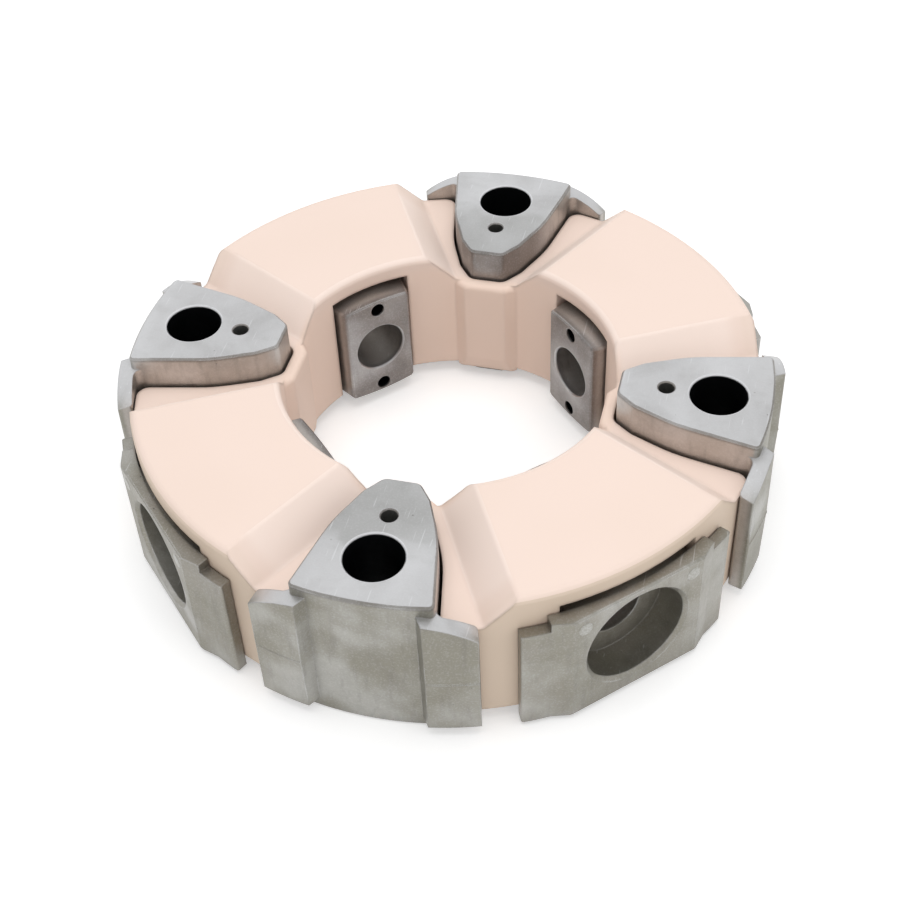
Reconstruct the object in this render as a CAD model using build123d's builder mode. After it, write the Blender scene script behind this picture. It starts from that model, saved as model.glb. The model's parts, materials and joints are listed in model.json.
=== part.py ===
from build123d import *
import os
from math import cos, radians, sin, sqrt, tan

# Flexible pump coupling: a moulded elastomer ring that carries four axial
# cast inserts, bolted along the shaft, and between them four radial cast
# inserts, bolted towards the hub. The origin is on the ring's axis, in the
# plane of the axial inserts' undersides, and +Z points to their upper faces.

os.makedirs("parts", exist_ok=True)

# Coupling as a whole
pairs = 4                         # axial inserts, and as many radial ones
coupling_diameter = 215.0         # over the wings and the radial blocks
axial_height = 54.0               # axial inserts, flange to flange
bolt_bore = 18.0                  # clearance bore of every bolt
pin_bore = 5.0                    # locating pin holes
seat_gap = 0.4                    # between a casting and the ring's outer wall
pocket_gap = 0.9                  # round an axial insert in its pocket
shank_gap = 1.2                   # each side of a radial shank in its slot

# Elastomer ring
ring_bore = 108.0
ring_underside = 4.0              # above the base plane
ring_top_drop = 1.5               # pad tops, below the axial inserts' tops
ring_edge_radius = 2.5            # rolled upper edges of the pads
roll_facets = 3                   # tangent facets that make up the roll
ring_foot_bevel = 1.0             # lower edges
saddle_depth = 10.0               # from the pad tops to the shelves
saddle_half_width = 11.0          # shelf, measured at the ring's bore
saddle_spread = 28.4              # degrees, each side of the radial line
saddle_flank = 45.0               # degrees, slope of the bevels
saddle_crease_radius = 2.0
mouth_radius = 4.0                # upright corners where a pocket meets the wall
boss_rise = 3.5                   # flat boss face, inside the bore's radius
boss_half_width = 7.2
boss_foot_half_width = 10.8
boss_rim_radius = 2.0             # at the shelf
boss_slope_height = 5.5           # foot of the boss, sloped back
boss_slope_depth = 1.5
bridge_thickness = 6.2            # elastomer above each radial shank

# Axial inserts
wing_thickness = 5.4
outer_face_drop = 4.4             # outer face, inside the wings' radius
nose_drop = 1.4                   # nose of the insert, outside the ring's bore
nose_half_width = 5.5
shoulder_length = 6.1
shoulder_half_width = 10.2
knee_length = 13.7                # from the shoulder to the bend of the flank
knee_half_width = 16.1
heel_half_width = 21.3
nose_radius = 3.0
shoulder_radius = 6.0
knee_radius = 50.0
heel_radius = 1.8
axial_edge_bevel = 0.6
bolt_rim_distance = 16.85         # bolt axis, inside the outer face
pin_bolt_distance = 16.25         # pin axis, inside the bolt axis
pin_depth = 8.0
bore_bevel = 0.4
wing_underside = 4.0
wing_start = 8.6                  # degrees from the insert's radial line
wing_start_slant = 1.4            # degrees, from the outer face to the rim
wing_end = 18.4
wing_start_drop = 3.8             # top of the wing, below the insert's top
wing_middle_drop = 6.3
wing_end_drop = 11.2
wing_root_radius = 2.5
wing_root_reach = 6.0             # of the rounding, along the wing
wing_edge_radius = 1.0
parting_height = 25.0             # parting line round the wings' rim
wing_draft = 0.8                  # degrees, away from the parting line
flash_height = 0.25               # of the parting line, proud of the rim
flash_width = 0.8

# Radial inserts
plate_underside = 1.5
plate_thickness = 3.7             # margins each side of the block
plate_half_angle = 20.3
margin_top_drop = 13.0            # below the axial inserts' tops
block_top_drop = 9.8
block_half_width = 22.3           # flat outer face
block_half_angle = 15.5           # foot of the slanted bands
tip_reach = 6.35                  # tip face, inside the ring's bore
tip_half_width = 12.3
neck_half_width = 14.1
neck_length = 6.85                # from the tip face to the change of taper
neck_radius = 12.0
root_half_width = 23.2
crown_rise = 1.2                  # crown of the neck's top, above its edges
slot_head_gap = 2.2               # from the crown to the roof of the slot
shank_foot_drop = 0.1             # lower crown, below the ring's underside
shank_edge_bevel = 0.8
tip_edge_bevel = 0.5
plate_edge_radius = 0.8
block_edge_bevel = 0.5
counterbore_diameter = 34.0
counterbore_depth = 12.0
counterbore_bevel = 1.2
tip_pin_inset = 3.5               # pin axes, inside the shank's crowns

# Radii and heights that follow
coupling_r = coupling_diameter / 2
wing_inner_r = coupling_r - wing_thickness
ring_r = wing_inner_r - seat_gap
bore_r = ring_bore / 2
outer_face_r = coupling_r - outer_face_drop
nose_x = bore_r + nose_drop
shoulder_x = nose_x + shoulder_length
knee_x = shoulder_x + knee_length
heel_x = sqrt(outer_face_r**2 - heel_half_width**2)
ring_top = axial_height - ring_top_drop
shelf_height = ring_top - saddle_depth
slot_top = ring_top - bridge_thickness
tip_x = bore_r - tip_reach
neck_x = tip_x + neck_length
bolt_x = outer_face_r - bolt_rim_distance
pin_x = bolt_x - pin_bolt_distance
shank_top = slot_top - slot_head_gap
shank_underside = ring_underside - shank_foot_drop
shank_half_height = (shank_top - shank_underside) / 2
radial_bolt_height = (shank_top + shank_underside) / 2
crown_radius = (neck_half_width**2 + crown_rise**2) / (2 * crown_rise)
block_face_x = sqrt(coupling_r**2 - block_half_width**2)
root_x = block_face_x - plate_thickness / 2
pitch = 360 / pairs
overrun = 1.0                     # of a cutting tool past a face
tolerance = 0.05                  # for finding corners and edges by their place
beyond = 1.2 * coupling_r         # clear of everything, for cutting tools


def at_angle(radius, angle):
    """Point in plan at a radius, and at degrees from the local X axis."""
    return (radius * cos(radians(angle)), radius * sin(radians(angle)))


def near_radius(corner, radius):
    """Whether a corner in plan lies at this radius from the ring's axis."""
    return abs(sqrt(corner.X**2 + corner.Y**2) - radius) < tolerance


def mirrored(points):
    """Half of a symmetric outline, with its mirror image, as a loop."""
    return points + [(x, -y) for x, y in reversed(points)]


# Axial insert outline in plan, nose towards the axis
flank_slope = (heel_half_width - knee_half_width) / (heel_x - knee_x)
with BuildSketch() as sharp_heel_plan:
    with BuildLine():
        Polyline(
            *mirrored([
                (nose_x, nose_half_width),
                (shoulder_x, shoulder_half_width),
                (knee_x, knee_half_width),
                (beyond, heel_half_width + flank_slope * (beyond - heel_x)),
            ]),
            close=True,
        )
    make_face()
    Circle(outer_face_r, mode=Mode.INTERSECT)
    for corner, radius in ((2, knee_radius), (1, shoulder_radius), (0, nose_radius)):
        fillet(sharp_heel_plan.vertices().group_by(Axis.X)[corner], radius)

with BuildSketch() as axial_plan:
    add(sharp_heel_plan.sketch)
    fillet(axial_plan.vertices().group_by(Axis.X)[-1], heel_radius)

# Wings in plan: a band each side of the insert, rounded into its flanks
middle = (wing_start + wing_end) / 2
wing_foot = at_angle(wing_inner_r, wing_start)
wing_rim_start = at_angle(coupling_r, wing_start + wing_start_slant)
wing_rim_end = at_angle(coupling_r, wing_end)
with BuildSketch() as wing_plan:
    with BuildLine():
        ThreePointArc(wing_foot, at_angle(wing_inner_r, middle), at_angle(wing_inner_r, wing_end))
        Line(at_angle(wing_inner_r, wing_end), wing_rim_end)
        ThreePointArc(wing_rim_end, at_angle(coupling_r, middle), wing_rim_start)
        Line(wing_rim_start, wing_foot)
    make_face()
    fillet(wing_plan.vertices().sort_by(Axis.Y)[-2:], wing_edge_radius)
    mirror(about=Plane.XZ)
    add(sharp_heel_plan.sketch)
    roots = wing_plan.vertices().filter_by(
        lambda v: near_radius(v, wing_inner_r)
        and abs(v.Y) < wing_rim_start[1] + wing_root_reach)
    fillet(roots, wing_root_radius)

# Rim of the wings in section: drafted both ways from a raised parting line
rim_r = coupling_r - flash_height
draft = tan(radians(wing_draft))
with BuildSketch(Plane.XZ) as wing_section:
    with BuildLine():
        Polyline(
            (0, wing_underside),
            (rim_r - draft * (parting_height - wing_underside), wing_underside),
            (rim_r, parting_height - flash_width / 2),
            (coupling_r, parting_height),
            (rim_r, parting_height + flash_width / 2),
            (rim_r - draft * (axial_height - parting_height), axial_height),
            (0, axial_height),
            close=True,
        )
    make_face()

# Axial insert: a solid heel-and-nose block with a wing each side that
# wraps the ring's outer wall and falls away towards its end
with BuildPart() as axial_insert:
    with BuildSketch(Plane.XY.offset(wing_underside)):
        add(wing_plan.sketch)
    extrude(amount=axial_height - wing_underside)
    with BuildSketch(Plane.YZ):
        with BuildLine():
            top_start = (wing_foot[1], axial_height - wing_start_drop)
            top_middle = (
                (wing_rim_start[1] + wing_rim_end[1]) / 2, axial_height - wing_middle_drop)
            top_end = (wing_rim_end[1], axial_height - wing_end_drop)
            ThreePointArc(top_start, top_middle, top_end)
            Polyline(
                top_end,
                (beyond, axial_height - wing_end_drop),
                (beyond, axial_height + overrun),
                (0, axial_height + overrun),
                (0, axial_height - wing_start_drop),
                top_start,
            )
        make_face()
        mirror(about=Plane.YZ)
    extrude(amount=beyond, mode=Mode.SUBTRACT)
    add(wing_section.sketch)
    revolve(axis=Axis.Z, mode=Mode.INTERSECT)
    with BuildSketch():
        add(axial_plan.sketch)
    extrude(amount=axial_height)

    rims = axial_insert.faces().filter_by(Axis.Z).group_by(Axis.Z)
    chamfer(rims[-1].edges() + rims[0].edges(), axial_edge_bevel)

    with Locations((bolt_x, 0, axial_height)):
        Hole(bolt_bore / 2)
    with Locations((pin_x, 0, axial_height)):
        Hole(pin_bore / 2, depth=pin_depth)
    bore_rims = axial_insert.edges().filter_by(GeomType.CIRCLE).filter_by(
        lambda e: e.is_closed and e.center().Z in (0, axial_height))
    chamfer(bore_rims, bore_bevel)


def shank_plan(start, end, gap=0.0):
    """Plan of a radial shank from one distance to another, let out by a gap."""
    tip_slope = (neck_half_width - tip_half_width) / neck_length
    root_slope = (root_half_width - neck_half_width) / (root_x - neck_x)
    with BuildSketch() as plan:
        with BuildLine():
            Polyline(
                *mirrored([
                    (start, neck_half_width + tip_slope * (start - neck_x) + gap),
                    (neck_x, neck_half_width + gap),
                    (end, neck_half_width + root_slope * (end - neck_x) + gap),
                ]),
                close=True,
            )
        make_face()
        fillet(plan.vertices().group_by(Axis.X)[1], neck_radius)
    return plan.sketch


# Bolt seat along a radial insert: half section of the bore, the recess for
# the bolt's head and their eased mouths, from the bolt's axis outwards
bore_radius = bolt_bore / 2
recess_floor_x = block_face_x - counterbore_depth
recess_radius = counterbore_diameter / 2
along_bolt = Plane(origin=(0, 0, radial_bolt_height), x_dir=(1, 0, 0), z_dir=(0, -1, 0))
with BuildSketch(along_bolt) as bolt_seat:
    with BuildLine():
        Polyline(
            (tip_x - overrun, 0),
            (tip_x - overrun, bore_radius + bore_bevel + overrun),
            (tip_x + bore_bevel, bore_radius),
            (recess_floor_x, bore_radius),
            (recess_floor_x, recess_radius),
            (block_face_x - counterbore_bevel, recess_radius),
            (block_face_x + overrun, recess_radius + counterbore_bevel + overrun),
            (block_face_x + overrun, 0),
            close=True,
        )
    make_face()

# Radial insert: a tapered shank through the ring, crowned above and below, a
# flat-faced block at its outer end, and a thin margin each side that backs
# onto the ring's wall
margin_r = wing_inner_r + plate_thickness
band_foot = at_angle(margin_r, block_half_angle)
across_tip = Plane(origin=(tip_x, 0, radial_bolt_height), x_dir=(0, 1, 0), z_dir=(1, 0, 0))
with BuildPart() as radial_insert:
    with BuildSketch():
        add(shank_plan(tip_x, root_x))
    extrude(amount=axial_height)
    with BuildSketch(across_tip):
        with Locations((0, shank_half_height - crown_radius)):
            Circle(crown_radius)
        with Locations((0, crown_radius - shank_half_height)):
            Circle(crown_radius, mode=Mode.INTERSECT)
    extrude(amount=beyond, mode=Mode.INTERSECT)
    long_edges = radial_insert.edges().filter_by(lambda e: abs((e % 0.5).X) > cos(radians(60)))
    chamfer(long_edges, shank_edge_bevel)
    chamfer(radial_insert.faces().sort_by(Axis.X)[0].edges(), tip_edge_bevel)

    with BuildSketch(Plane.XY.offset(plate_underside)) as plate:
        with BuildLine():
            block_front = Polyline(
                band_foot,
                (block_face_x, block_half_width),
                (block_face_x, -block_half_width),
                (band_foot[0], -band_foot[1]),
            )
            margin_angle = plate_half_angle - block_half_angle
            CenterArc((0, 0), margin_r, block_half_angle, margin_angle)
            CenterArc((0, 0), margin_r, -plate_half_angle, margin_angle)
            CenterArc((0, 0), wing_inner_r, -plate_half_angle, 2 * plate_half_angle)
            for side in (-1, 1):
                Line(
                    at_angle(wing_inner_r, side * plate_half_angle),
                    at_angle(margin_r, side * plate_half_angle),
                )
        make_face()
        plate_ends = plate.vertices().filter_by(lambda v: near_radius(v, margin_r)).sort_by(Axis.X)
        fillet(plate_ends[:2], plate_edge_radius)
    extrude(amount=axial_height - margin_top_drop - plate_underside)
    with BuildSketch(Plane.XY.offset(plate_underside)):
        with BuildLine():
            add(block_front)
            CenterArc((0, 0), wing_inner_r, -block_half_angle, 2 * block_half_angle)
            for side in (-1, 1):
                Line(
                    at_angle(wing_inner_r, side * block_half_angle),
                    at_angle(margin_r, side * block_half_angle),
                )
        make_face()
    extrude(amount=axial_height - block_top_drop - plate_underside)
    block_rims = radial_insert.edges().filter_by(Axis.Y).filter_by(
        lambda e: abs(e.center().X - block_face_x) < tolerance)
    chamfer(block_rims, block_edge_bevel)

    add(bolt_seat.sketch)
    revolve(axis=Axis((0, 0, radial_bolt_height), (1, 0, 0)), mode=Mode.SUBTRACT)
    tip_pin_offset = shank_half_height - tip_pin_inset
    for height in (radial_bolt_height - tip_pin_offset, radial_bolt_height + tip_pin_offset):
        with Locations(Plane(origin=(tip_x, 0, height), z_dir=(-1, 0, 0))):
            Hole(pin_bore / 2, depth=pin_depth)


# Lip of a bevel: the facet that rolls its upper edge into the pads
bevel_turn = radians(saddle_flank)
lip_setback = ring_edge_radius * (tan(bevel_turn / 2) - tan(bevel_turn / 4))
lip_height = saddle_depth - lip_setback * sin(bevel_turn)


def saddle_plan(height):
    """Plan of a saddle at a height above its shelf, widening up its bevels."""
    spread = tan(radians(saddle_spread))
    bevel = min(height, lip_height) / tan(bevel_turn)
    lip = max(height - lip_height, 0) / tan(bevel_turn / 2)
    half_width = saddle_half_width + (bevel + lip) / cos(radians(saddle_spread))
    inside, outside = bore_r - 2 * boss_rise, beyond
    with BuildSketch(Plane.XY.offset(shelf_height + height)) as plan:
        with BuildLine():
            Polyline(
                *mirrored([
                    (inside, half_width + spread * (inside - bore_r)),
                    (outside, half_width + spread * (outside - bore_r)),
                ]),
                close=True,
            )
        make_face()
    return plan.sketch


# Pocket of an axial insert: its outline, let out by the gap
with BuildSketch() as axial_pocket:
    add(sharp_heel_plan.sketch)
    offset(amount=pocket_gap)

# Pockets with rounded mouths, joined to the free space outside the wall
with BuildSketch() as pockets:
    Circle(beyond)
    Circle(ring_r, mode=Mode.SUBTRACT)
    with PolarLocations(0, pairs):
        add(axial_pocket.sketch)
    mouths = pockets.vertices().filter_by(lambda v: near_radius(v, ring_r))
    fillet(mouths, mouth_radius)

# Saddle: the relief cut in the ring's top round each axial insert
with BuildPart() as saddle:
    loft([saddle_plan(0), saddle_plan(lip_height)], ruled=True)
    loft([saddle_plan(lip_height), saddle_plan(saddle_depth + overrun)], ruled=True)

# Section of the pads, their upper edges rolled in facets tangent to an arc
facet_turn = 90 / (roll_facets + 1)
corner_distance = ring_edge_radius / cos(radians(facet_turn / 2))
corners = [at_angle(corner_distance, facet_turn * (n + 0.5)) for n in range(roll_facets + 1)]
roll_height = ring_top - ring_edge_radius
outer_roll_x, inner_roll_x = ring_r - ring_edge_radius, bore_r + ring_edge_radius
with BuildSketch(Plane.XZ) as pad_section:
    with BuildLine():
        Polyline(
            (0, 0),
            (ring_r, 0),
            *[(outer_roll_x + x, roll_height + z) for x, z in corners],
            *[(inner_roll_x - x, roll_height + z) for x, z in reversed(corners)],
            (0, roll_height + corners[0][1]),
            close=True,
        )
    make_face()

# Boss on the bore behind the nose of each axial insert: flat-faced, rounded
# over at the shelf, its foot sloped back
boss_foot_x = sqrt(bore_r**2 - boss_foot_half_width**2)
with BuildPart() as boss:
    with BuildSketch(Plane.XY.offset(ring_underside)):
        with BuildLine():
            Polyline(
                *mirrored([
                    (bore_r - boss_rise, boss_half_width),
                    (boss_foot_x, boss_foot_half_width),
                    (bore_r + overrun, boss_foot_half_width),
                ]),
                close=True,
            )
        make_face()
    extrude(amount=shelf_height - ring_underside)
    boss_face = boss.faces().sort_by(Axis.X)[0]
    boss_foot = boss_face.edges().sort_by(Axis.Z)[0]
    chamfer(boss_foot, boss_slope_height, boss_slope_depth, reference=boss_face)
    boss_rims = boss.faces().sort_by(Axis.Z)[-1].edges().filter_by(
        lambda e: e.center().X < boss_foot_x)
    fillet(boss_rims, boss_rim_radius)

# Ring: bored disc with its saddles, bosses, pockets and slots
with BuildPart() as ring:
    with BuildSketch(Plane.XY.offset(ring_underside)):
        Circle(ring_r)
        Circle(bore_r, mode=Mode.SUBTRACT)
    extrude(amount=ring_top - ring_underside)
    chamfer(ring.faces().sort_by(Axis.Z)[0].edges(), ring_foot_bevel)
    add(pad_section.sketch)
    revolve(axis=Axis.Z, mode=Mode.INTERSECT)
    with PolarLocations(0, pairs):
        add(saddle.part, mode=Mode.SUBTRACT)
    creases = ring.edges().filter_by_position(
        Axis.Z, shelf_height - tolerance, shelf_height + tolerance).filter_by(
        lambda e: e.geom_type == GeomType.LINE and e.length > (ring_r - bore_r) / 2)
    fillet(creases, saddle_crease_radius)
    with PolarLocations(0, pairs):
        add(boss.part)

    with BuildSketch():
        add(pockets.sketch)
    extrude(amount=axial_height, mode=Mode.SUBTRACT)
    with BuildSketch():
        with PolarLocations(0, pairs, start_angle=pitch / 2):
            add(shank_plan(tip_x - tip_reach, beyond, shank_gap))
    extrude(amount=slot_top, mode=Mode.SUBTRACT)

ring.part.label = "ring"
export_step(ring.part, "parts/ring.step")

# The castings, turned to their places round the ring
for casting, name, first_angle in (
    (axial_insert, "axial_insert", 0),
    (radial_insert, "radial_insert", pitch / 2),
):
    for number in range(pairs):
        turn = Location((0, 0, 0), (0, 0, first_angle + number * pitch))
        placed = casting.part.moved(turn)
        placed.label = f"{name}_{number + 1}"
        export_step(placed, f"parts/{placed.label}.step")
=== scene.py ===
"""Flexible pump coupling: finishes, casting marks, floor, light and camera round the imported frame."""

import json
import math

import bpy
from bpy.props import FloatProperty, FloatVectorProperty, PointerProperty
from mathutils import Matrix, Vector


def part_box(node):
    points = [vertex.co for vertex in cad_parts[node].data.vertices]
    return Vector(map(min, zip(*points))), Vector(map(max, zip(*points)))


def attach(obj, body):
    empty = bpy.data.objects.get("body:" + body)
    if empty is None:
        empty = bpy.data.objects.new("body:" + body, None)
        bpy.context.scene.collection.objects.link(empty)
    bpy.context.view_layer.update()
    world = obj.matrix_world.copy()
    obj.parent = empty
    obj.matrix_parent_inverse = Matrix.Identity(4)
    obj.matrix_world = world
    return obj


bl_info = {
    "name": "Flexible pump coupling",
    "version": (1, 0, 0),
    "blender": (4, 5, 0),
    "location": "View3D > Sidebar > Coupling",
    "description": "Dresses the ring and the cast inserts of a flexible pump coupling",
    "category": "Add Mesh",
}

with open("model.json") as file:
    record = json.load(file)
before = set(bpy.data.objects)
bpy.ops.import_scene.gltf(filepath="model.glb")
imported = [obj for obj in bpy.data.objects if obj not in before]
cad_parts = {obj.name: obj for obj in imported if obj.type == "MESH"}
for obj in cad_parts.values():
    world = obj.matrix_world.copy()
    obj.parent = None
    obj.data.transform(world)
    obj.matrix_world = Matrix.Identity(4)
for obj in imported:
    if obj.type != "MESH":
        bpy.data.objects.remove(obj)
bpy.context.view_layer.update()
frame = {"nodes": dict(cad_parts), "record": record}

BODY = "root"
PAIRS = 4
AXIAL_INSERTS = [f"axial_insert_{number + 1}" for number in range(PAIRS)]
RADIAL_INSERTS = [f"radial_insert_{number + 1}" for number in range(PAIRS)]

# Sizes taken from the frame: mounts give the bores, and nodes their heights
MOUNTS = {mount["name"]: mount for mount in frame["record"]["mounts"]}
FLANGE_BOLTS = MOUNTS["flange_bolts"]["dims"]
FLANGE_PINS = MOUNTS["flange_pins"]["dims"]
HUB_BOLT = MOUNTS["hub_bolt_1"]
FLANGE_BOLT_RADIUS = FLANGE_BOLTS["pcd_mm"] / 2000
FLANGE_PIN_RADIUS = FLANGE_PINS["pcd_mm"] / 2000
BOLT_HOLE_RADIUS = FLANGE_BOLTS["hole_r_mm"] / 1000
PIN_HOLE_RADIUS = FLANGE_PINS["hole_r_mm"] / 1000
RADIAL_BOLT_HEIGHT = HUB_BOLT["pos_m"][2]
TIP_DISTANCE = math.dist(HUB_BOLT["pos_m"][:2], (0, 0)) - HUB_BOLT["dims"]["length_mm"] / 2000
FLANGE_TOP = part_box(AXIAL_INSERTS[0])[1].z
RING_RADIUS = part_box("ring")[1].x
RING_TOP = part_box("ring")[1].z

# Sizes of the solids that the frame doesn't list, in metres
BORE_RADIUS = 0.054
BLOCK_DISTANCE = 0.10516
OUTER_FACE_DISTANCE = 0.1031
TIP_PIN_OFFSET = 0.0166
PIN_HOLE_DEPTH = 0.008

# Kinds of face by the upward part of the normal, from where a kind begins to where it is full
OFF_LEVEL = (0.99, 0.93)
OFF_UPRIGHT = (0.35, 0.55)
TOWARDS_UPRIGHT = (0.85, 0.25)
FLANGE_FACE = (0.68, 0.90)

# Edges by the cosine between the softened normal and the face's own
EDGE_TURN = (0.985, 0.90)

# Finishes, painted light and painted shade by distance in metres, from where one begins to where it is full
# Painted light on the slopes beside the inserts
SLOPE_INSIDE_WALL = (0.002, 0.008)  # inwards from the ring's outer wall
# The next two place the painted warm shade on the bore's wall
WALL_IN_BORE = (0.003, 0.0)         # towards the ring's bore
WALL_UNDER_TOP = (0.0, 0.008)       # down from the ring's top
NOSE = (0.0850, 0.0765)             # towards the coupling's axis
ON_Y_AXIS = (-0.001, 0.001)         # from the castings on the X axis to those on the Y axis
# Painted shadow: a dark band under a flange face's edge
EDGE_SHADE = (0.0018, 0.0008)       # up to a flange face
OUTER_FACE = (0.004, 0.002)         # outwards to an axial casting's outer face
# Places the painted dark reflection on the tips
TIP_INSIDE_RING = (0.004, 0.010)    # inwards from the ring's outer wall
BEHIND_TIP = (0.0008, 0.0030)       # outwards from the face of a tip
TIP_RIM_HIGHLIGHT = (0.0012, 0.0004)          # up to the face of a tip
HOLE_MOUTH = (0.0003, 0.0010)       # from a face into its holes
HOLE_END = (0.0010, 0.0005)         # from past the end of a pin hole up to it
HOLE_EDGE = (0.0005, 0.0002)        # from outside a hole's wall up to it

# Other sizes of the finishes and the floor, in metres
NOSE_WAVER = 0.030                  # how far the edge of a nose's finish strays
# Painted highlight round a bolt's bore, in place of bright metal
RIM_HIGHLIGHT_WIDTH = 0.0002                  # bright metal round a bolt's bore
FLOOR_SIZE = 8.0
FLOOR_GAP = 0.0002

SHADER_SAMPLES = 3
MARK_SIDES = 48


class CouplingElastomer(bpy.types.PropertyGroup):
    colour: FloatVectorProperty(
        name="Colour", description="Moulded elastomer of the ring", subtype="COLOR",
        default=(0.93, 0.758, 0.667), min=0, max=1)
    # Painted shade on the ring's outer wall; also the colour of the random darker clouds
    rim_shade_and_cloud_colour: FloatVectorProperty(
        name="Rim colour", description="Elastomer towards the ring's outer wall", subtype="COLOR",
        default=(0.74, 0.60, 0.47), min=0, max=1)
    # Painted warm shade on the bore's wall
    bore_wall_shade_colour: FloatVectorProperty(
        name="Wall colour", description="Elastomer on the wall of the bore", subtype="COLOR",
        default=(0.95, 0.752, 0.640), min=0, max=1)
    # Painted light: lighter elastomer on the slopes beside the inserts
    slope_light_colour: FloatVectorProperty(
        name="Slope colour", description="Elastomer on the slopes beside the inserts", subtype="COLOR",
        default=(0.98, 0.82, 0.735), min=0, max=1)
    # Painted shade in corners and slots
    hollow_shade_colour: FloatVectorProperty(
        name="Hollow colour", description="Elastomer in corners and slots", subtype="COLOR",
        default=(0.72, 0.50, 0.40), min=0, max=1)
    # Reach of the painted shade, inwards from the outer wall
    rim_shade_width: FloatProperty(
        name="Rim width", description="Reach of the rim colour, inside the outer wall", unit="LENGTH",
        default=0.0024)
    edge_radius: FloatProperty(
        name="Edge radius", description="Softening of the moulded edges", unit="LENGTH", default=0.0016)
    grain: FloatProperty(
        name="Grain", description="Width of the mould's fine grain", unit="LENGTH", default=0.0011)
    cloud: FloatProperty(
        name="Cloud", description="Width of the clouds of darker elastomer", unit="LENGTH", default=0.045)
    hollow_reach: FloatProperty(
        name="Hollow reach", description="Width of a gap that counts as a hollow", unit="LENGTH",
        default=0.006)


class CouplingCasting(bpy.types.PropertyGroup):
    face_colour: FloatVectorProperty(
        name="Flange face", description="Upper and lower faces of the axial castings", subtype="COLOR",
        default=(0.580, 0.582, 0.590), min=0, max=1)
    # Partly a stain, partly painted darker reflection, round the nose
    nose_stain_and_shade_colour: FloatVectorProperty(
        name="Nose", description="Duller part of the flange face, round the pin hole", subtype="COLOR",
        default=(0.430, 0.432, 0.428), min=0, max=1)
    # Partly the as-cast finish, partly painted shade and reflection, darker than the flange faces
    side_cast_and_shade_colour: FloatVectorProperty(
        name="Sides", description="As-cast sides of the axial castings", subtype="COLOR",
        default=(0.500, 0.465, 0.432), min=0, max=1)
    block_colour: FloatVectorProperty(
        name="Blocks", description="Outer blocks of the radial castings", subtype="COLOR",
        default=(0.275, 0.263, 0.220), min=0, max=1)
    # Painted dark reflection on the tips, also on the sides round the noses
    tip_reflection_colour: FloatVectorProperty(
        name="Tips", description="Inner tips of the radial castings", subtype="COLOR",
        default=(0.205, 0.184, 0.174), min=0, max=1)
    # Real stains and flow marks; also painted shade in hollows, under the flange faces' edges and along
    # edges
    stain_and_shade_colour: FloatVectorProperty(
        name="Stains", description="Release stains and flow marks", subtype="COLOR",
        default=(0.180, 0.168, 0.155), min=0, max=1)
    # Bright metal of real scratches and wear; also painted sheen and painted highlights
    worn_and_highlight_colour: FloatVectorProperty(
        name="Worn metal", description="Bright metal of scratches and worn edges", subtype="COLOR",
        default=(0.80, 0.81, 0.83), min=0, max=1)
    # Painted shade inside the bores
    bore_shade_colour: FloatVectorProperty(
        name="Bores", description="Inside of the flange bolts' bores", subtype="COLOR",
        default=(0.014, 0.015, 0.017), min=0, max=1)
    # Painted shade inside the pin holes
    pin_hole_shade_colour: FloatVectorProperty(
        name="Pin holes", description="Inside of the pin holes", subtype="COLOR",
        default=(0.250, 0.250, 0.240), min=0, max=1)
    edge_width: FloatProperty(
        name="Edge width", description="Width of the worn edges", unit="LENGTH", default=0.0006)
    cloud: FloatProperty(
        name="Cloud", description="Width of the clouds of stain", unit="LENGTH", default=0.017)
    # Width of the patches of painted sheen
    patch: FloatProperty(
        name="Patch", description="Width of the bright patches of flow", unit="LENGTH", default=0.022)
    streak: FloatProperty(
        name="Streak", description="Width of the streaks down the sides", unit="LENGTH", default=0.0022)
    mottle: FloatProperty(
        name="Mottle", description="Width of the as-cast mottle", unit="LENGTH", default=0.0026)
    fine: FloatProperty(
        name="Fine grain", description="Width of the fine grain and of a scratch", unit="LENGTH",
        default=0.0006)
    pit_spacing: FloatProperty(
        name="Pit spacing", description="Distance between pits", unit="LENGTH", default=0.0052)
    pit_radius: FloatProperty(
        name="Pit radius", description="Radius of a pit", unit="LENGTH", default=0.00035)
    hollow_reach: FloatProperty(
        name="Hollow reach", description="Width of a gap that counts as a hollow", unit="LENGTH",
        default=0.007)


class CouplingMarks(bpy.types.PropertyGroup):
    radius: FloatProperty(
        name="Radius", description="Radius of an ejector mark", unit="LENGTH", default=0.0023)
    height: FloatProperty(
        name="Height", description="How proud an ejector mark stands", unit="LENGTH", default=0.00018)
    aside: FloatProperty(
        name="Aside", description="Distance of a mark from the bolt's axis, to the side", unit="LENGTH",
        default=0.0188)
    above: FloatProperty(
        name="Above", description="Distance of a mark above the bolt's axis", unit="LENGTH", default=0.0154)


class CouplingStage(bpy.types.PropertyGroup):
    floor_colour: FloatVectorProperty(
        name="Floor", description="Colour of the floor", subtype="COLOR",
        default=(0.86, 0.86, 0.86), min=0, max=1)
    floor_lift: FloatProperty(
        name="Floor lift", description="Brightness that the camera sees over the floor's own", default=0.36)
    ambient: FloatProperty(
        name="Ambient", description="Strength of the even light from all round", default=0.62)
    top_power: FloatProperty(
        name="Top lamp", description="Power of the soft lamp overhead", unit="POWER", default=4.75)
    side_power: FloatProperty(
        name="Side lamp", description="Power of the lamp on the right", unit="POWER", default=0.8)
    front_power: FloatProperty(
        name="Front lamp", description="Power of the lamp on the camera's side", unit="POWER", default=0.7)
    lens: FloatProperty(
        name="Lens", description="Focal length of the camera, in millimetres", default=62.05)


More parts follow.
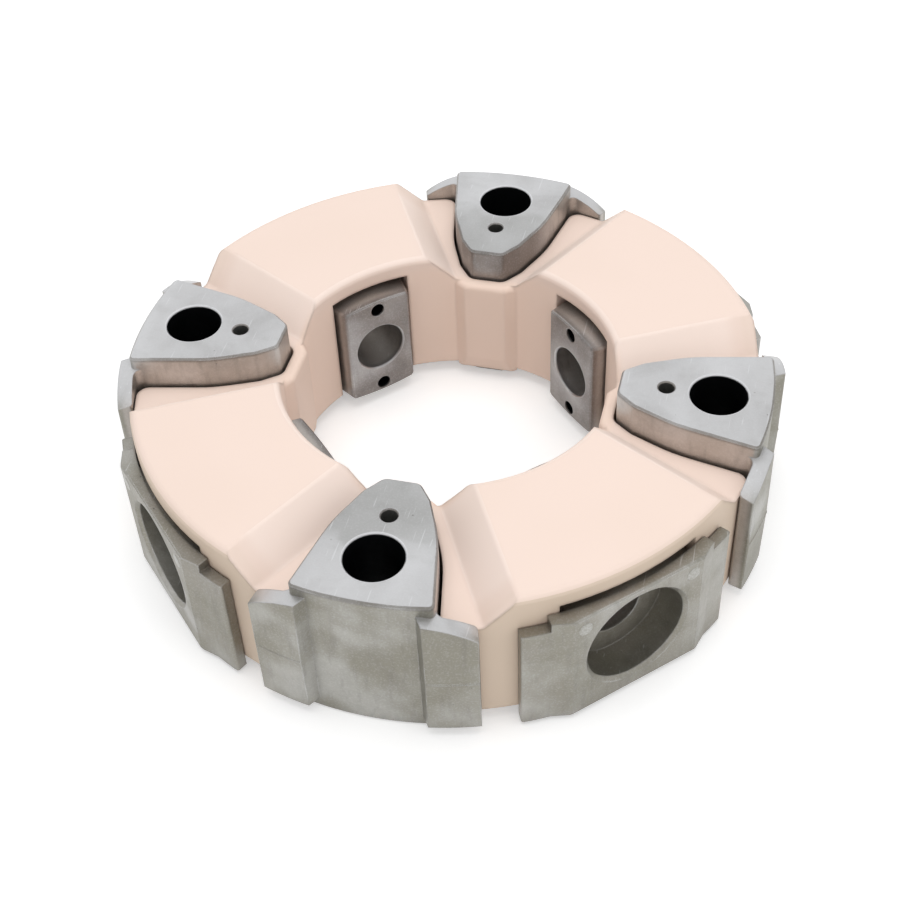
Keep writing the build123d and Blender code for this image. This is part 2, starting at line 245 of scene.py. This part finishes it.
class NodeMaterial:
    """A material whose nodes are made one call at a time."""

    def __init__(self, name):
        self.material = bpy.data.materials.new(name)
        self.material.use_nodes = True
        self.tree = self.material.node_tree
        self.tree.nodes.clear()
        self.output = self.tree.nodes.new("ShaderNodeOutputMaterial")
        self.shader = self.tree.nodes.new("ShaderNodeBsdfPrincipled")
        self.tree.links.new(self.shader.outputs["BSDF"], self.output.inputs["Surface"])
        self.place = self.tree.nodes.new("ShaderNodeTexCoord").outputs["Object"]
        self.facing = self.tree.nodes.new("ShaderNodeNewGeometry").outputs["Normal"]

    def feed(self, socket, value):
        """Links an output to a socket, or sets the socket to a plain value."""
        if isinstance(value, bpy.types.NodeSocket):
            self.tree.links.new(value, socket)
        elif hasattr(value, "__len__") and len(value) == 3 and len(socket.default_value) == 4:
            socket.default_value = (*value, 1)
        else:
            socket.default_value = value

    def maths(self, operation, *values):
        step = self.tree.nodes.new("ShaderNodeMath")
        step.operation = operation
        for socket, value in zip(step.inputs, values):
            self.feed(socket, value)
        return step.outputs[0]

    def both(self, first, second):
        """The product of two masks."""
        return self.maths("MULTIPLY", first, second)

    def ramp(self, value, start, end, low=0.0, high=1.0):
        """The value's place from start to end, smoothed, as a number from low to high."""
        step = self.tree.nodes.new("ShaderNodeMapRange")
        step.interpolation_type = "SMOOTHSTEP"
        for name, number in (("Value", value), ("From Min", start), ("From Max", end),
                             ("To Min", low), ("To Max", high)):
            self.feed(step.inputs[name], number)
        return step.outputs["Result"]

    def mix(self, share, first, second):
        step = self.tree.nodes.new("ShaderNodeMix")
        step.data_type = "RGBA"
        self.feed(step.inputs["Factor"], share)
        self.feed(step.inputs["A"], first)
        self.feed(step.inputs["B"], second)
        return next(out for out in step.outputs if out.type == "RGBA")

    def parts(self, vector):
        step = self.tree.nodes.new("ShaderNodeSeparateXYZ")
        self.feed(step.inputs[0], vector)
        return step.outputs

    def turned(self, angle, stretch=(1, 1, 1)):
        """Object coordinates turned about the coupling's axis, and stretched."""
        step = self.tree.nodes.new("ShaderNodeMapping")
        step.inputs["Rotation"].default_value = (0, 0, angle)
        step.inputs["Scale"].default_value = stretch
        self.feed(step.inputs["Vector"], self.place)
        return step.outputs["Vector"]

    def distance(self, first, second):
        """Length of the hypotenuse over two distances at right angles."""
        squares = self.maths("ADD", self.maths("POWER", first, 2.0), self.maths("POWER", second, 2.0))
        return self.maths("SQRT", squares)

    def disc(self, first, second, radius):
        """1 within a radius of an axis, from two distances to it at right angles."""
        return self.ramp(self.distance(first, second), *(radius + past for past in HOLE_EDGE))

    def pin_hole(self, first, second, depth):
        """1 in a blind pin hole, from two distances to its axis and the depth in it."""
        above_end = self.ramp(depth, *(PIN_HOLE_DEPTH + past for past in HOLE_END))
        return self.both(self.disc(first, second, PIN_HOLE_RADIUS), above_end)

    def noise(self, width, detail, roughness=0.5, vector=None, distortion=0.0):
        """Noise whose features are about this wide, in metres."""
        step = self.tree.nodes.new("ShaderNodeTexNoise")
        self.feed(step.inputs["Vector"], vector or self.place)
        step.inputs["Scale"].default_value = 1 / width
        step.inputs["Detail"].default_value = detail
        step.inputs["Roughness"].default_value = roughness
        step.inputs["Distortion"].default_value = distortion
        return step.outputs["Fac"]

    def specks(self, width, radius):
        """Round specks scattered about this far apart, 1 in their middles."""
        step = self.tree.nodes.new("ShaderNodeTexVoronoi")
        self.feed(step.inputs["Vector"], self.place)
        step.inputs["Scale"].default_value = 1 / width
        return self.ramp(step.outputs["Distance"], radius / width, 0.3 * radius / width)

    def rounded(self, radius):
        """The surface's normal, with its edges softened."""
        step = self.tree.nodes.new("ShaderNodeBevel")
        step.samples = SHADER_SAMPLES
        step.inputs["Radius"].default_value = radius
        return step.outputs["Normal"]

    def edges(self, rounded):
        """1 where a softened normal turns off the surface's own, and 0 on its faces."""
        dot = self.tree.nodes.new("ShaderNodeVectorMath")
        dot.operation = "DOT_PRODUCT"
        self.feed(dot.inputs[0], rounded)
        self.feed(dot.inputs[1], self.facing)
        return self.ramp(dot.outputs["Value"], *EDGE_TURN)

    def hollows(self, distance):
        """1 where the surface is shut in, within this distance, and 0 in the open."""
        step = self.tree.nodes.new("ShaderNodeAmbientOcclusion")
        step.samples = SHADER_SAMPLES
        step.inputs["Distance"].default_value = distance
        return self.maths("SUBTRACT", 1.0, step.outputs["AO"])

    def bump(self, height, distance, strength, normal):
        step = self.tree.nodes.new("ShaderNodeBump")
        step.inputs["Strength"].default_value = strength
        step.inputs["Distance"].default_value = distance
        self.feed(step.inputs["Height"], height)
        self.feed(step.inputs["Normal"], normal)
        return step.outputs["Normal"]

    def finish(self, **sockets):
        for name, value in sockets.items():
            self.feed(self.shader.inputs[name.replace("_", " ")], value)
        return self.material


def elastomer_material(settings):
    """Satin moulded elastomer, with painted shade on its outer wall, on its bore's wall and in its hollows,
    and painted light on the slopes beside the inserts.
    """
    make = NodeMaterial("moulded_elastomer")
    x, y, z = make.parts(make.place)
    radius = make.distance(x, y)
    inset = make.maths("SUBTRACT", RING_RADIUS, radius)
    upward = make.parts(make.facing)[2]
    outer_wall_shade = make.both(make.ramp(inset, settings.rim_shade_width, 0.0, 0.0, 0.9),
                         make.ramp(upward, *TOWARDS_UPRIGHT))
    # Painted light on the slopes beside the inserts
    lit_slope = make.both(make.ramp(upward, *OFF_LEVEL), make.ramp(upward, *OFF_UPRIGHT))
    lit_slope = make.both(lit_slope, make.ramp(inset, *SLOPE_INSIDE_WALL))
    shaded_bore_wall = make.both(make.ramp(make.maths("SUBTRACT", radius, BORE_RADIUS), *WALL_IN_BORE),
                        make.ramp(make.maths("SUBTRACT", RING_TOP, z), *WALL_UNDER_TOP))
    cloud = make.noise(settings.cloud, detail=1)
    grain = make.noise(settings.grain, detail=2, roughness=0.6)
    hollow = make.hollows(settings.hollow_reach)

    colour = make.mix(lit_slope, settings.colour, settings.slope_light_colour)
    # Painted shade: darker, tan elastomer on the outer wall
    colour = make.mix(outer_wall_shade, colour, settings.rim_shade_and_cloud_colour)
    # Painted warm shade on the bore's wall
    colour = make.mix(shaded_bore_wall, colour, settings.bore_wall_shade_colour)
    # Painted shade in corners and slots, from ambient occlusion
    colour = make.mix(make.ramp(hollow, 0.5, 1.0, 0.0, 0.5), colour, settings.hollow_shade_colour)
    colour = make.mix(make.ramp(cloud, 0.45, 0.75, 0.0, 0.08), colour, settings.rim_shade_and_cloud_colour)

    normal = make.bump(cloud, 0.0006, 0.4, make.rounded(settings.edge_radius))
    normal = make.bump(grain, 0.00003, 0.5, normal)
    return make.finish(
        Base_Color=colour, Roughness=make.ramp(grain, 0.2, 0.8, 0.48, 0.58), Normal=normal,
        Specular_IOR_Level=0.35)


def axial_zones(make, settings, far, aside, height, cloud):
    """Flange faces over as-cast sides with painted shade, a painted highlight round the bolt's bore, and
    painted shade inside the bolt's bore and the pin hole.
    """
    x, y, _ = make.parts(make.place)
    depth = make.maths("SUBTRACT", FLANGE_TOP, height)

    # Only the castings on the Y axis are darker round the nose, with an uneven edge: partly a stain, partly
    # painted darker reflection
    on_y_axis = make.ramp(make.maths("SUBTRACT", make.maths("ABSOLUTE", y), make.maths("ABSOLUTE", x)),
                          *ON_Y_AXIS, 0.0, 0.9)
    uneven = make.maths("MULTIPLY_ADD", make.maths("SUBTRACT", cloud, 0.5), NOSE_WAVER, far)
    nose = make.both(make.ramp(uneven, *NOSE), on_y_axis)
    face = make.mix(nose, settings.face_colour, settings.nose_stain_and_shade_colour)
    side = make.mix(nose, settings.side_cast_and_shade_colour, settings.tip_reflection_colour)

    outside = make.ramp(make.maths("SUBTRACT", OUTER_FACE_DISTANCE, far), *OUTER_FACE)
    side = make.mix(outside, side, settings.block_colour)
    # Painted shadow: a dark band under a flange face's edge
    side = make.mix(make.ramp(depth, *EDGE_SHADE, 0.0, 0.7), side, settings.stain_and_shade_colour)
    # Upright faces take the side colour and level faces the face colour: partly the finish, partly painted
    # shade on the sides
    level = make.ramp(make.maths("ABSOLUTE", make.parts(make.facing)[2]), *FLANGE_FACE)
    colour = make.mix(level, side, face)

    from_bolt = make.maths("SUBTRACT", far, FLANGE_BOLT_RADIUS)
    bolt = make.disc(from_bolt, aside, BOLT_HOLE_RADIUS)
    rim = make.disc(from_bolt, aside, BOLT_HOLE_RADIUS + RIM_HIGHLIGHT_WIDTH)
    pin = make.pin_hole(make.maths("SUBTRACT", far, FLANGE_PIN_RADIUS), aside, depth)
    # Painted shade for the bolt's bore and the pin hole
    holes = make.mix(pin, settings.bore_shade_colour, settings.pin_hole_shade_colour)
    inside = make.both(make.ramp(depth, *HOLE_MOUTH), make.ramp(height, *HOLE_MOUTH))
    return colour, rim, holes, make.both(make.maths("MAXIMUM", bolt, pin), inside)


def radial_zones(make, settings, far, aside, height, cloud):
    """Tips with a painted dark reflection, lighter outer blocks, a painted highlight round the bolt's bore,
    and painted shade inside the pin holes.
    """
    depth = make.maths("SUBTRACT", far, TIP_DISTANCE)
    in_ring = make.ramp(make.maths("SUBTRACT", RING_RADIUS, far), *TIP_INSIDE_RING)
    behind_tip = make.ramp(depth, *BEHIND_TIP, 0.0, 0.75)
    # Painted dark reflection on the tips inside the ring, with lighter sides behind the tip's face
    colour = make.mix(in_ring, settings.block_colour, settings.tip_reflection_colour)
    colour = make.mix(make.both(behind_tip, in_ring), colour, settings.side_cast_and_shade_colour)
    colour = make.mix(make.ramp(cloud, 0.35, 0.70, 0.0, 0.25), colour, settings.side_cast_and_shade_colour)

    from_bolt = make.maths("SUBTRACT", height, RADIAL_BOLT_HEIGHT)
    # Painted highlight round the tip's bolt bore, near the tip's face
    rim = make.disc(from_bolt, aside, BOLT_HOLE_RADIUS + RIM_HIGHLIGHT_WIDTH)
    rim = make.both(rim, make.ramp(depth, *TIP_RIM_HIGHLIGHT, 0.0, 0.35))
    from_pin = make.maths("SUBTRACT", make.maths("ABSOLUTE", from_bolt), TIP_PIN_OFFSET)
    # Painted shade inside the tips' pin holes
    in_pin = make.both(make.pin_hole(from_pin, aside, depth), make.ramp(depth, *HOLE_MOUTH))
    return colour, rim, settings.bore_shade_colour, in_pin


def cast_material(name, settings, zones, turn=0.0):
    """Die-cast aluminium: flow marks, pits, scratches and softly worn edges, with painted sheen, painted
    highlights on edges and painted shade in hollows.
    """
    make = NodeMaterial(name)
    across, along, height = make.parts(make.turned(turn))
    across, along = make.maths("ABSOLUTE", across), make.maths("ABSOLUTE", along)
    far = make.maths("MAXIMUM", across, along)
    aside = make.maths("MINIMUM", across, along)

    cloud = make.noise(settings.cloud, detail=3, roughness=0.6, distortion=0.5)
    # Painted sheen: broad lighter patches
    patches = make.noise(settings.patch, detail=2, vector=make.turned(turn + 0.4, (1, 0.6, 1)))
    streaks = make.noise(settings.streak, detail=2, vector=make.turned(turn, (1, 1, 0.16)))
    mottle = make.noise(settings.mottle, detail=3, roughness=0.65)
    fine = make.noise(settings.fine, detail=1)
    scratches = make.noise(settings.fine, detail=0, vector=make.turned(turn + 0.6, (1, 0.05, 1)))
    specks = make.specks(settings.pit_spacing, settings.pit_radius)
    pits = make.both(specks, make.ramp(cloud, 0.46, 0.60))
    hollow = make.hollows(settings.hollow_reach)
    rounded = make.rounded(settings.edge_width)
    edges = make.edges(rounded)
    level = make.ramp(make.parts(make.facing)[2], *FLANGE_FACE)
    as_cast = make.maths("SUBTRACT", 1.0, make.both(level, 0.8))

    colour, rim, holes, in_holes = zones(make, settings, far, aside, height, cloud)
    stain, worn = settings.stain_and_shade_colour, settings.worn_and_highlight_colour
    everywhere = 1.0
    # Layers in order: a pattern, where it begins and is full, its share at most, where it lies, its colour
    for pattern, begins, full, share, where, tint in (
        (cloud, 0.46, 0.76, 0.20, everywhere, stain),
        # Painted sheen
        (patches, 0.42, 0.70, 0.24, everywhere, worn),
        (streaks, 0.50, 0.75, 0.24, as_cast, stain),
        (mottle, 0.42, 0.66, 0.14, as_cast, stain),
        (fine, 0.45, 0.75, 0.10, everywhere, worn),
        (scratches, 0.74, 0.79, 0.35, level, worn),
        # Painted shade in hollows and corners, from ambient occlusion
        (hollow, 0.25, 0.95, 0.75, everywhere, stain),
        (cloud, 0.46, 0.60, 0.70, specks, stain),
        # Painted shade along edges where the cloud is low
        (cloud, 0.58, 0.46, 0.50, edges, stain),
    ):
        colour = make.mix(make.both(make.ramp(pattern, begins, full, 0.0, share), where), colour, tint)

    # Outer edges are lighter, partly worn, partly a painted highlight; inner corners are not
    bright = make.both(edges, make.ramp(cloud, 0.45, 0.58, 0.12, 0.55))
    bright = make.both(bright, make.ramp(hollow, 0.40, 0.20))
    colour = make.mix(bright, colour, worn)
    # Painted highlight round a bolt's bore
    colour = make.mix(make.both(rim, 0.8), colour, worn)
    # Painted shade inside the bores and pin holes
    colour = make.mix(in_holes, colour, holes)

    normal = rounded
    # A pattern, its height in metres, and its strength
    for pattern, depth, strength in (
        (patches, 0.0007, 0.5),
        (make.both(mottle, as_cast), 0.00018, 0.5),
        (fine, 0.00005, 0.5),
        (make.maths("MULTIPLY", pits, -1.0), 0.0002, 0.8),
    ):
        normal = make.bump(pattern, depth, strength, normal)
    return make.finish(
        Base_Color=colour, Metallic=0.85, Normal=normal,
        Roughness=make.ramp(make.maths("ADD", mottle, patches), 0.7, 1.3, 0.48, 0.32))


def mark_material(settings):
    """Metal pressed smooth by an ejector pin."""
    make = NodeMaterial("pressed_metal")
    grain = make.noise(settings.fine, detail=1)
    colour = make.mix(make.ramp(grain, 0.3, 0.7, 0.15, 0.35), settings.block_colour, settings.worn_and_highlight_colour)
    return make.finish(Base_Color=colour, Metallic=0.7, Roughness=0.36)


def paint(node, material):
    """Gives a node of the frame its finish."""
    piece = frame["nodes"][node]
    piece.data.materials.clear()
    piece.data.materials.append(material)


def deselect_all():
    for thing in bpy.context.selected_objects:
        thing.select_set(False)


def settle(piece, name, material):
    """Names a new piece, puts its place into its mesh and lets it ride."""
    piece.name = name
    piece.data.name = name
    piece.data.transform(piece.matrix_world)
    piece.matrix_world = Matrix.Identity(4)
    piece.data.materials.clear()
    piece.data.materials.append(material)
    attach(piece, BODY)


class COUPLING_OT_ring(bpy.types.Operator):
    """Finish the moulded elastomer ring"""

    bl_idname = "coupling.ring"
    bl_label = "Ring"

    def execute(self, context):
        paint("ring", elastomer_material(context.scene.coupling_elastomer))
        return {"FINISHED"}


class COUPLING_OT_axial_inserts(bpy.types.Operator):
    """Finish the four cast inserts that are bolted along the shaft"""

    bl_idname = "coupling.axial_inserts"
    bl_label = "Axial inserts"

    def execute(self, context):
        material = cast_material("cast_axial", context.scene.coupling_casting, axial_zones)
        for node in AXIAL_INSERTS:
            paint(node, material)
        return {"FINISHED"}


class COUPLING_OT_radial_inserts(bpy.types.Operator):
    """Finish the four cast inserts that are bolted towards the hub"""

    bl_idname = "coupling.radial_inserts"
    bl_label = "Radial inserts"

    def execute(self, context):
        turn = math.pi / PAIRS
        material = cast_material("cast_radial", context.scene.coupling_casting, radial_zones, turn)
        for node in RADIAL_INSERTS:
            paint(node, material)
        return {"FINISHED"}


class COUPLING_OT_ejector_marks(bpy.types.Operator):
    """Add the ejector marks in the upper corners of the radial inserts' blocks"""

    bl_idname = "coupling.ejector_marks"
    bl_label = "Ejector marks"

    def execute(self, context):
        settings = context.scene.coupling_marks
        material = mark_material(context.scene.coupling_casting)
        for number in range(PAIRS):
            turn = Matrix.Rotation(math.pi / PAIRS * (2 * number + 1), 4, "Z")
            marks = [self.mark(settings, turn, side) for side in (-1, 1)]
            deselect_all()
            for mark in marks:
                mark.select_set(True)
            context.view_layer.objects.active = marks[0]
            bpy.ops.object.join()
            settle(context.object, f"ejector_marks_{number + 1}", material)
        return {"FINISHED"}

    def mark(self, settings, turn, side):
        """A low frustum, its foot sunk in the block by as much as it stands proud."""
        deselect_all()
        bpy.ops.mesh.primitive_cone_add(
            vertices=MARK_SIDES, radius1=settings.radius + settings.height,
            radius2=settings.radius - settings.height, depth=2 * settings.height)
        mark = bpy.context.object
        place = Vector((BLOCK_DISTANCE, side * settings.aside, RADIAL_BOLT_HEIGHT + settings.above))
        mark.matrix_world = turn @ Matrix.Translation(place) @ Matrix.Rotation(math.pi / 2, 4, "Y")
        return mark


class COUPLING_OT_stage(bpy.types.Operator):
    """Add the floor, the light and the camera"""

    bl_idname = "coupling.stage"
    bl_label = "Stage"

    def execute(self, context):
        settings = context.scene.coupling_stage
        self.floor(settings)
        self.world(context, settings)
        self.lamps(context, settings)
        self.camera(context, settings)
        context.scene.view_settings.view_transform = "Standard"
        return {"FINISHED"}

    def floor(self, settings):
        deselect_all()
        bpy.ops.mesh.primitive_plane_add(size=FLOOR_SIZE, location=(0, 0, -FLOOR_GAP))
        floor = bpy.context.object
        floor.name = "floor"
        make = NodeMaterial("pale_floor")
        path = make.tree.nodes.new("ShaderNodeLightPath").outputs
        seen = make.maths("MAXIMUM", path["Is Camera Ray"],
                          make.maths("MAXIMUM", path["Is Glossy Ray"], path["Is Transmission Ray"]))
        floor.data.materials.append(make.finish(
            Base_Color=settings.floor_colour, Roughness=0.9, Specular_IOR_Level=0.1,
            Emission_Color=(1, 1, 1), Emission_Strength=make.maths("MULTIPLY", seen, settings.floor_lift)))

    def world(self, context, settings):
        world = bpy.data.worlds.new("studio")
        world.use_nodes = True
        tree = world.node_tree
        path = tree.nodes.new("ShaderNodeLightPath").outputs
        background = tree.nodes["Background"]
        background.inputs["Color"].default_value = (1, 1, 1, 1)
        seen = path["Is Camera Ray"]
        for ray in ("Is Glossy Ray", "Is Transmission Ray"):
            either = tree.nodes.new("ShaderNodeMath")
            either.operation = "MAXIMUM"
            tree.links.new(seen, either.inputs[0])
            tree.links.new(path[ray], either.inputs[1])
            seen = either.outputs[0]
        strength = tree.nodes.new("ShaderNodeMapRange")
        strength.inputs["To Min"].default_value = settings.ambient
        strength.inputs["To Max"].default_value = 1.0
        tree.links.new(seen, strength.inputs["Value"])
        tree.links.new(strength.outputs["Result"], background.inputs["Strength"])
        context.scene.world = world

    def lamps(self, context, settings):
        # A lamp, its power, and its size and place in metres
        for name, power, size, place in (
            ("top_lamp", settings.top_power, 0.9, (0.0, 0.0, 1.1)),
            ("side_lamp", settings.side_power, 0.7, (0.9, -0.3, 0.6)),
            ("front_lamp", settings.front_power, 0.7, (0.3, -0.8, 0.6)),
        ):
            light = bpy.data.lights.new(name, "AREA")
            light.energy = power
            light.size = size
            lamp = bpy.data.objects.new(name, light)
            lamp.location = place
            lamp.visible_glossy = False
            lamp.rotation_euler = (-Vector(place)).to_track_quat("-Z", "Y").to_euler()
            context.scene.collection.objects.link(lamp)

    def camera(self, context, settings):
        eye = Vector((0.1016, -0.3580, 0.3814))
        aim = Vector((0.0108, -0.0405, FLANGE_TOP))
        roll = math.radians(-2.979)
        lens = bpy.data.cameras.new("camera")
        lens.lens = settings.lens
        lens.sensor_width = 36.0
        lens.clip_start = 0.01
        camera = bpy.data.objects.new("camera", lens)
        upright = (aim - eye).to_track_quat("-Z", "Y").to_matrix().to_4x4()
        camera.matrix_world = Matrix.Translation(eye) @ upright @ Matrix.Rotation(roll, 4, "Z")
        context.scene.collection.objects.link(camera)
        context.scene.camera = camera


OPERATORS = (
    COUPLING_OT_ring,
    COUPLING_OT_axial_inserts,
    COUPLING_OT_radial_inserts,
    COUPLING_OT_ejector_marks,
    COUPLING_OT_stage,
)


class COUPLING_PT_panel(bpy.types.Panel):
    """Lists the steps that dress the coupling"""

    bl_label = "Pump coupling"
    bl_space_type = "VIEW_3D"
    bl_region_type = "UI"
    bl_category = "Coupling"

    def draw(self, context):
        for operator in OPERATORS:
            self.layout.operator(operator.bl_idname)


GROUPS = {
    "coupling_elastomer": CouplingElastomer,
    "coupling_casting": CouplingCasting,
    "coupling_marks": CouplingMarks,
    "coupling_stage": CouplingStage,
}
CLASSES = (*GROUPS.values(), *OPERATORS, COUPLING_PT_panel)


def register():
    for item in CLASSES:
        bpy.utils.register_class(item)
    for name, group in GROUPS.items():
        setattr(bpy.types.Scene, name, PointerProperty(type=group))


def unregister():
    for name in GROUPS:
        delattr(bpy.types.Scene, name)
    for item in reversed(CLASSES):
        bpy.utils.unregister_class(item)


def main():
    register()
    bpy.ops.coupling.ring()
    bpy.ops.coupling.axial_inserts()
    bpy.ops.coupling.radial_inserts()
    bpy.ops.coupling.ejector_marks()
    bpy.ops.coupling.stage()


if __name__ == "__main__":
    main()
